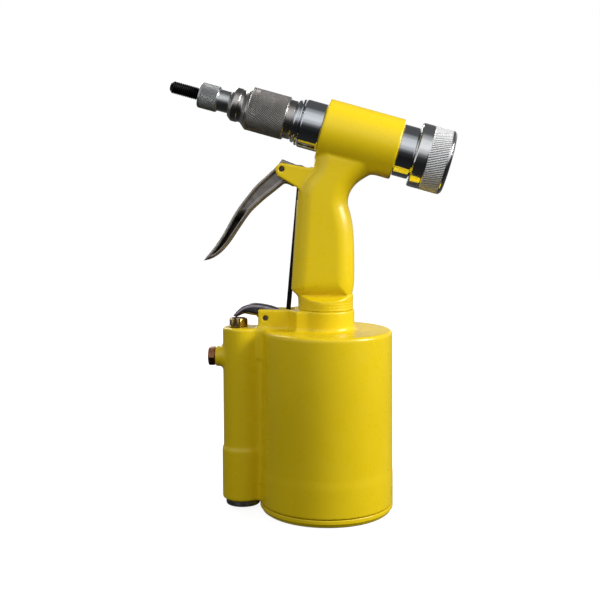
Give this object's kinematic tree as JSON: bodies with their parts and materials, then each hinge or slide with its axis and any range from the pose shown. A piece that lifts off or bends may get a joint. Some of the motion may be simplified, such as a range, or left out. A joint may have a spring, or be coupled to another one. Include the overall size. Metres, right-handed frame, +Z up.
{
  "type": "pneumatic rivet gun",
  "caption": "Hand-held air-hydraulic rivet nut gun: upright air cylinder base, side valve housing, grip with lever trigger and pull rod, tilted head with knurled nose and rear cap.",
  "frame": {"origin": "centre of the flat underside of the base cover, on the air cylinder's axis", "axes": "+Z up along the air cylinder, the nose points to -X and tilts up, the rear cap is at +X, Y is across the grip with the oil filling screw on the +Y side"},
  "size_m": [0.179, 0.0858, 0.2726],
  "materials": {
    "yellow_paint": "gloss yellow enamel over castings",
    "chrome": "mirror chrome plate",
    "bright_nickel": "bright nickel plate, knurled",
    "zinc_steel": "zinc plated steel, knurled",
    "dark_nickel": "dark nickel plate, knurled",
    "black_oxide": "black oxide",
    "cast_lever": "satin cast lever",
    "polished_steel": "polished forged steel",
    "pin_steel": "dull steel pins",
    "brass": "machined brass",
    "bronze": "reddish bronze",
    "plug_metal": "dull plated plug",
    "aluminium": "turned aluminium",
    "machined_steel": "turned and ground steel",
    "spring_steel": "drawn spring wire",
    "black_rubber": "nitrile rubber"
  },
  "bodies": {
    "frame": {"cylinder_body": "yellow_paint", "base_cover": "yellow_paint", "grip_and_head": "yellow_paint", "front_head": "chrome", "rear_spacer": "chrome", "trigger_pivot_pin": "pin_steel", "rocker_pivot_pin": "pin_steel", "valve_top_nut": "brass", "valve_sleeve": "brass", "ram_gland": "brass", "oil_fill_washer": "brass", "inlet_bushing": "bronze", "inlet_filter": "bronze", "valve_bottom_plug": "plug_metal", "hydraulic_tube": "machined_steel", "oil_fill_screw": "machined_steel", "valve_spring": "spring_steel", "head_return_spring": "spring_steel", "base_cover_seal": "black_rubber", "piston_bumper": "black_rubber", "ram_packing": "black_rubber", "drawbar_seal": "black_rubber"},
    "trigger": {"trigger_lever": "cast_lever", "rod_top_pin": "pin_steel"},
    "pull_rod": {"pull_rod": "black_oxide"},
    "rocker": {"rocker_lever": "polished_steel", "rod_bottom_pin": "pin_steel"},
    "valve": {"valve_stem": "machined_steel", "valve_seal_lower": "black_rubber", "valve_seal_upper": "black_rubber"},
    "air_piston": {"air_piston": "aluminium", "air_piston_seal": "black_rubber", "piston_nut": "machined_steel", "ram": "chrome"},
    "head_piston": {"head_piston": "machined_steel", "head_piston_seal": "black_rubber", "drawbar": "machined_steel", "drawbar_nut": "machined_steel"},
    "mandrel": {"mandrel": "black_oxide"},
    "stroke_stop": {"stroke_stop": "machined_steel"},
    "rear_cap": {"rear_cap": "bright_nickel"},
    "nose_sleeve": {"nose_sleeve": "dark_nickel"},
    "anvil": {"anvil": "zinc_steel"},
    "lock_ring": {"lock_ring": "chrome"}
  },
  "joints": [
    {"name": "trigger_squeeze", "type": "hinge", "parent": "frame", "child": "trigger", "pos_m": [-0.028, 0, 0.218], "axis": [0, -1, 0], "range_deg": [0, 13], "stiffness_Nm_per_rad": 0.9},
    {"name": "rod_lift", "type": "slide", "parent": "frame", "child": "pull_rod", "axis": [0.0922, 0, 0.9957], "range_m": [0, 0.003]},
    {"name": "rocker_turn", "type": "hinge", "parent": "frame", "child": "rocker", "pos_m": [-0.0386, 0, 0.1247], "axis": [0, -1, 0], "range_deg": [0, 13]},
    {"name": "valve_press", "type": "slide", "parent": "frame", "child": "valve", "axis": [0, 0, -1], "range_m": [0, 0.004], "deforming": ["valve_spring"]},
    {"name": "air_piston_rise", "type": "slide", "parent": "frame", "child": "air_piston", "axis": [0, 0, 1], "range_m": [0, 0.063]},
    {"name": "mandrel_pull", "type": "slide", "parent": "frame", "child": "head_piston", "axis": [0.9638, 0, -0.2666], "range_m": [0, 0.0075], "deforming": ["head_return_spring"]},
    {"name": "mandrel_turn", "type": "hinge", "parent": "head_piston", "child": "mandrel", "pos_m": [-0.05783, 0, 0.25809], "axis": [-0.9638, 0, 0.2666], "continuous": true},
    {"name": "rear_cap_turn", "type": "hinge", "parent": "stroke_stop", "child": "rear_cap", "pos_m": [0.06554, 0, 0.22397], "axis": [0.9638, 0, -0.2666], "range_deg": [0, 721]},
    {"name": "stroke_stop_move", "type": "slide", "parent": "frame", "child": "stroke_stop", "axis": [0.9638, 0, -0.2666], "range_m": [0, 0.003]},
    {"name": "nose_sleeve_turn", "type": "hinge", "parent": "frame", "child": "nose_sleeve", "pos_m": [-0.03855, 0, 0.25276], "axis": [-0.9638, 0, 0.2666], "continuous": true},
    {"name": "anvil_turn", "type": "hinge", "parent": "nose_sleeve", "child": "anvil", "pos_m": [-0.06747, 0, 0.26076], "axis": [-0.9638, 0, 0.2666], "continuous": true},
    {"name": "lock_ring_turn", "type": "hinge", "parent": "frame", "child": "lock_ring", "pos_m": [-0.01831, 0, 0.24716], "axis": [-0.9638, 0, 0.2666], "continuous": true}
  ],
  "couplings": [
    {"joint": "rod_lift", "follows": "trigger_squeeze", "m_per_rad": 0.0111},
    {"joint": "rocker_turn", "follows": "trigger_squeeze", "ratio": 0.826},
    {"joint": "valve_press", "follows": "trigger_squeeze", "m_per_rad": 0.0145},
    {"joint": "mandrel_pull", "follows": "air_piston_rise", "ratio": 0.11111},
    {"joint": "rear_cap_turn", "follows": "stroke_stop_move", "rad_per_m": 4188.8}
  ]
}
